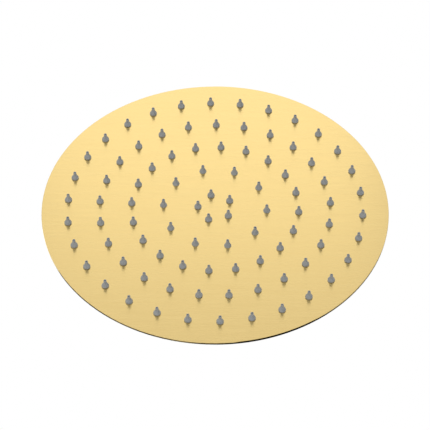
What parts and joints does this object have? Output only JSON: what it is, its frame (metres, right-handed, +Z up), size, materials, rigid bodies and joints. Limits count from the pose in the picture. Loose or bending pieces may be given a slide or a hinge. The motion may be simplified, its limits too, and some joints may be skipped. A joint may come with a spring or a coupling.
{
  "type": "round rain shower head",
  "caption": "Slim round rain shower head: brushed gold disc with rings of silicone nozzles, hung on a swivelling ball connector with a female inlet thread.",
  "frame": {"origin": "on the inlet axis, on the seat plane where the end of the supply pipe meets the gasket", "axes": "+Z up, out of the inlet; the spray face looks down -Z; the side nearest the picture's viewer is -Y"},
  "size_m": [0.25, 0.25, 0.0571],
  "materials": {
    "gold_sheet": "light gold coating over fine straight brushing",
    "gold_turned_steel": "light gold coating over a turned surface",
    "gold_brass": "light gold coating, satin",
    "silicone": "soft grey silicone, matte",
    "seal_rubber": "black rubber, matte",
    "white_acetal": "moulded, slightly waxy",
    "strainer_steel": "bare stainless mesh",
    "green_plastic": "moulded"
  },
  "bodies": {
    "connector": {"ball_stem": "gold_brass", "inlet_gasket": "seal_rubber", "filter_screen": "strainer_steel", "flow_restrictor": "green_plastic"},
    "swivel_ring": {"friction_ring": "white_acetal"},
    "head": {"face_plate": "gold_sheet", "back_plate": "gold_sheet", "ball_socket": "gold_turned_steel", "ball_seal": "seal_rubber", "retaining_collar": "gold_brass", "nozzle_ring_1": "silicone", "nozzle_ring_2": "silicone", "nozzle_ring_3": "silicone", "nozzle_ring_4": "silicone", "nozzle_ring_5": "silicone"}
  },
  "joints": [
    {"name": "head_tilt", "type": "hinge", "parent": "connector", "child": "swivel_ring", "pos_m": [0, 0, -0.0195], "axis": [1, 0, 0], "range_deg": [-15, 15]},
    {"name": "head_spin", "type": "hinge", "parent": "swivel_ring", "child": "head", "pos_m": [0, 0, -0.0195], "axis": [0, 0, 1], "continuous": true}
  ]
}
